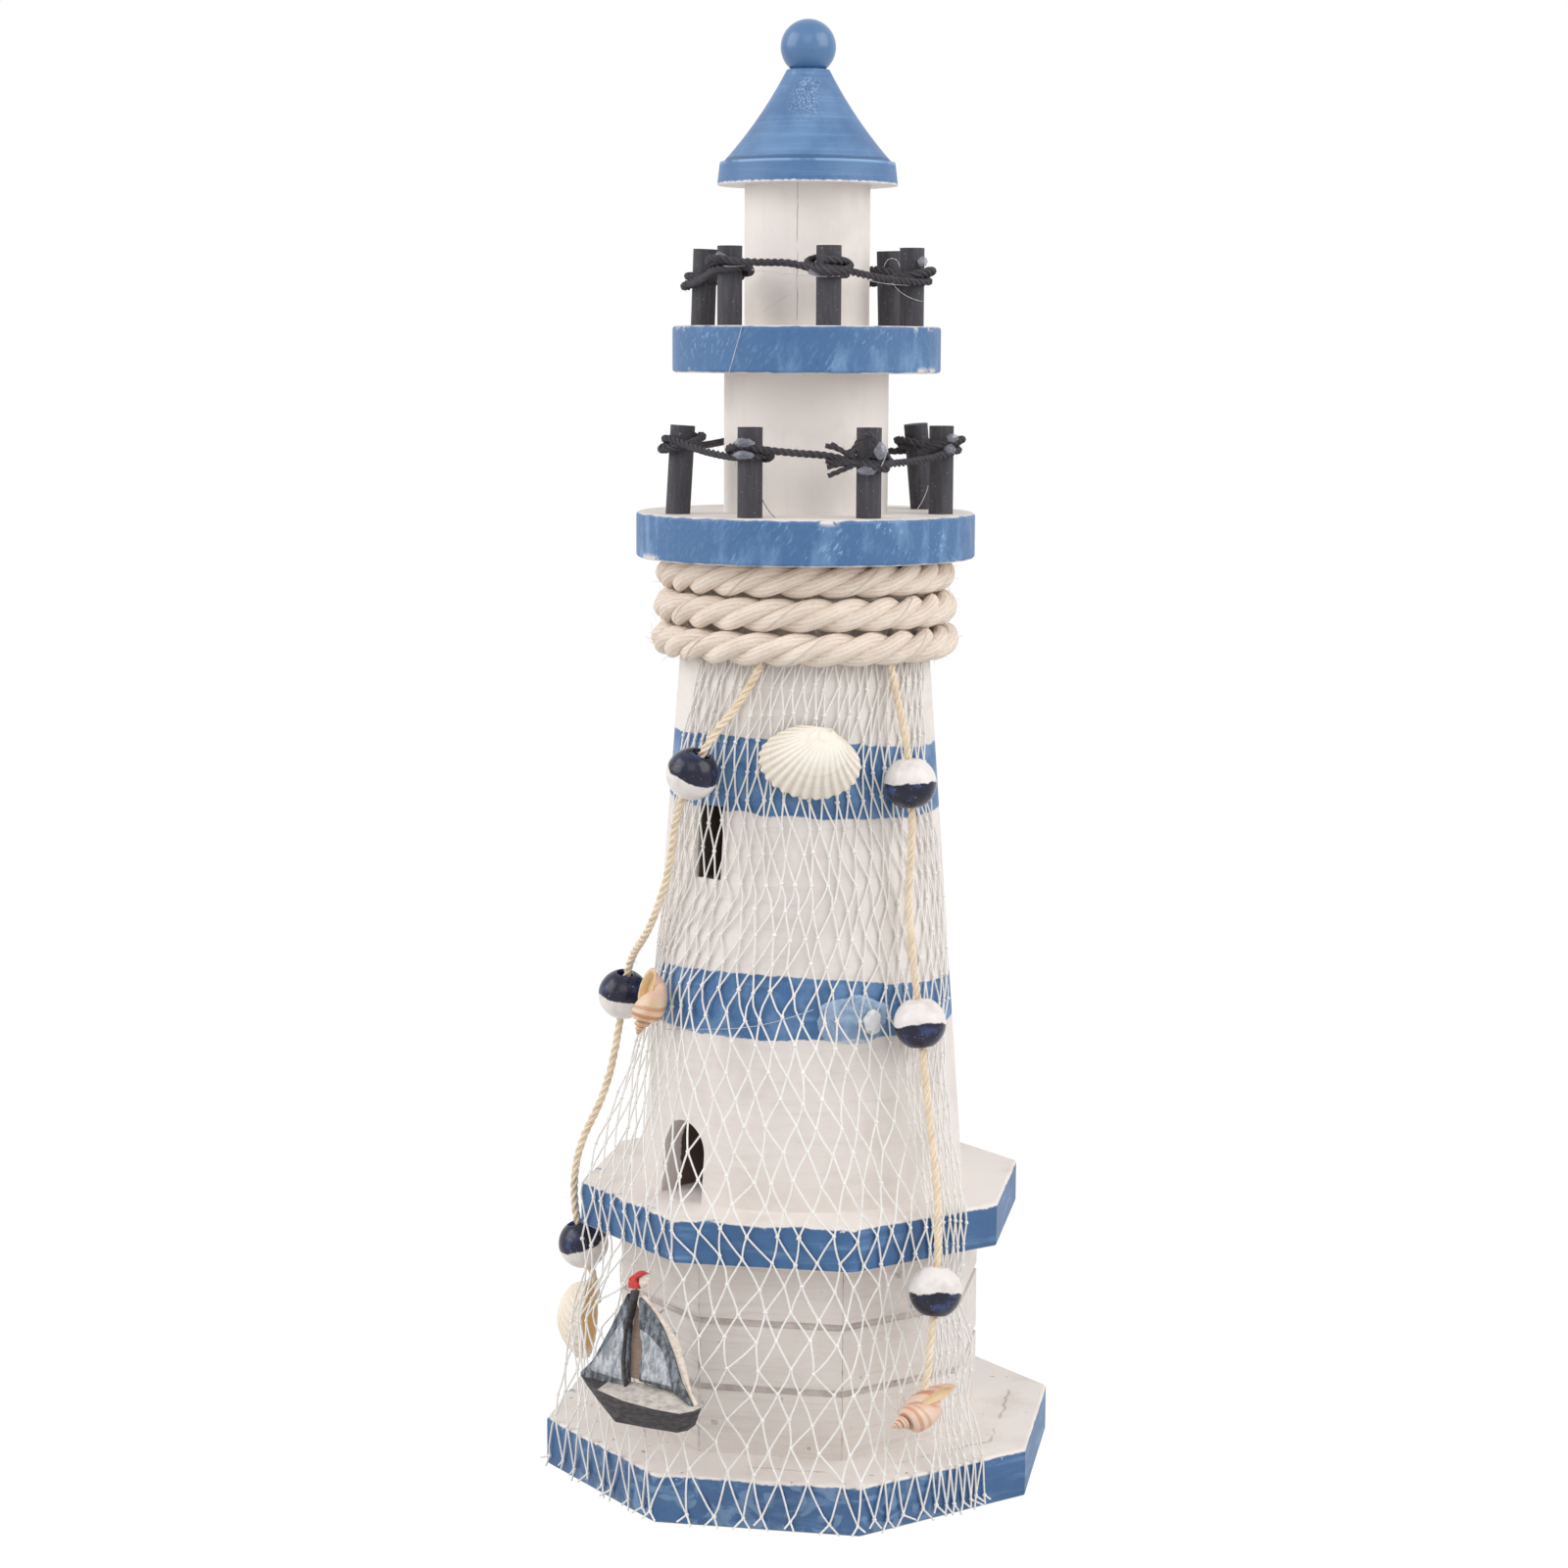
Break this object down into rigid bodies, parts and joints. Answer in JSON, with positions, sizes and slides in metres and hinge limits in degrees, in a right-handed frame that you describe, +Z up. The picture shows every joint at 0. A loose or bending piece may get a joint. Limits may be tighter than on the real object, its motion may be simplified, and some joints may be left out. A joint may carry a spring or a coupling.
{
  "type": "wooden lighthouse ornament",
  "caption": "Painted wooden lighthouse ornament on an octagonal house and base, with railed galleries, rope, a draped fishing net, threaded beads, shells and a sailboat charm.",
  "frame": {"origin": "middle of the base plate's underside", "axes": "+Z up the tower's axis, -Y out of the front flat of the octagonal base"},
  "size_m": [0.1121, 0.1202, 0.3302],
  "materials": {
    "plate_paint": "hand-brushed matt paint, blue edge and white faces",
    "house_paint": "hand-brushed matt white paint",
    "tower_paint": "matt white paint with two blue bands",
    "gallery_paint": "matt blue edge and white faces, worn at the corners",
    "drum_paint": "matt white paint",
    "roof_paint": "matt blue paint",
    "finial_paint": "satin blue paint",
    "dowel_wood": "bare turned wood",
    "post_paint": "satin black paint",
    "rope_cotton": "three-strand twisted cotton",
    "rail_twine": "dark twisted cord",
    "net_cotton": "knotted cotton netting",
    "jute_twine": "twisted natural twine",
    "bead_paint": "satin paint, half blue and half white",
    "pale_shell": "natural ribbed sea shell",
    "banded_shell": "natural spiral sea shell",
    "boat_resin": "cast and painted resin"
  },
  "bodies": {
    "lighthouse": {"base_plate": "plate_paint", "deck_plate": "plate_paint", "house_panel_1": "house_paint", "house_panel_2": "house_paint", "house_panel_3": "house_paint", "house_panel_4": "house_paint", "house_panel_5": "house_paint", "house_panel_6": "house_paint", "house_panel_7": "house_paint", "house_panel_8": "house_paint", "tower": "tower_paint", "lower_gallery": "gallery_paint", "upper_gallery": "gallery_paint", "lower_drum": "drum_paint", "lantern_drum": "drum_paint", "roof_cap": "roof_paint", "finial_ball": "finial_paint", "deck_dowel": "dowel_wood", "lower_dowel": "dowel_wood", "upper_dowel": "dowel_wood", "roof_dowel": "dowel_wood", "finial_pin": "dowel_wood", "lower_post_1": "post_paint", "lower_post_2": "post_paint", "lower_post_3": "post_paint", "lower_post_4": "post_paint", "lower_post_5": "post_paint", "lower_post_6": "post_paint", "upper_post_1": "post_paint", "upper_post_2": "post_paint", "upper_post_3": "post_paint", "upper_post_4": "post_paint", "upper_post_5": "post_paint", "upper_post_6": "post_paint", "rope_winding": "rope_cotton", "lower_rail_cord": "rail_twine", "upper_rail_cord": "rail_twine", "net_tower_band": "net_cotton", "net_upper_skirt": "net_cotton", "net_deck_band": "net_cotton", "net_lower_skirt": "net_cotton", "net_base_band": "net_cotton", "left_twine": "jute_twine", "right_twine": "jute_twine", "scallop_shell": "pale_shell", "left_cockle": "pale_shell", "left_whelk": "banded_shell", "right_whelk": "banded_shell", "sailboat_charm": "boat_resin"},
    "left_bead_1": {"left_bead_1": "bead_paint"},
    "left_bead_2": {"left_bead_2": "bead_paint"},
    "left_bead_3": {"left_bead_3": "bead_paint"},
    "right_bead_1": {"right_bead_1": "bead_paint"},
    "right_bead_2": {"right_bead_2": "bead_paint"},
    "right_bead_3": {"right_bead_3": "bead_paint"}
  },
  "joints": [
    {"name": "left_bead_1_spin", "type": "hinge", "parent": "lighthouse", "child": "left_bead_1", "pos_m": [-0.0191, -0.0339, 0.16425], "axis": [-0.4368, 0.1918, -0.8789], "continuous": true},
    {"name": "left_bead_2_spin", "type": "hinge", "parent": "lighthouse", "child": "left_bead_2", "pos_m": [-0.0406, -0.009, 0.109], "axis": [-0.1601, 0.1715, -0.9721], "continuous": true},
    {"name": "left_bead_3_spin", "type": "hinge", "parent": "lighthouse", "child": "left_bead_3", "pos_m": [-0.0496, -0.012, 0.05], "axis": [0.3003, 0.0751, -0.9509], "continuous": true},
    {"name": "right_bead_1_spin", "type": "hinge", "parent": "lighthouse", "child": "right_bead_1", "pos_m": [0.0282, -0.0253, 0.1624], "axis": [0.0983, -0.0546, -0.9937], "continuous": true},
    {"name": "right_bead_2_spin", "type": "hinge", "parent": "lighthouse", "child": "right_bead_2", "pos_m": [0.0314, -0.0289, 0.1093], "axis": [0.1245, -0.1245, -0.9844], "continuous": true},
    {"name": "right_bead_3_spin", "type": "hinge", "parent": "lighthouse", "child": "right_bead_3", "pos_m": [0.0374, -0.0428, 0.0525], "axis": [-0.0229, -0.229, -0.9732], "continuous": true}
  ]
}
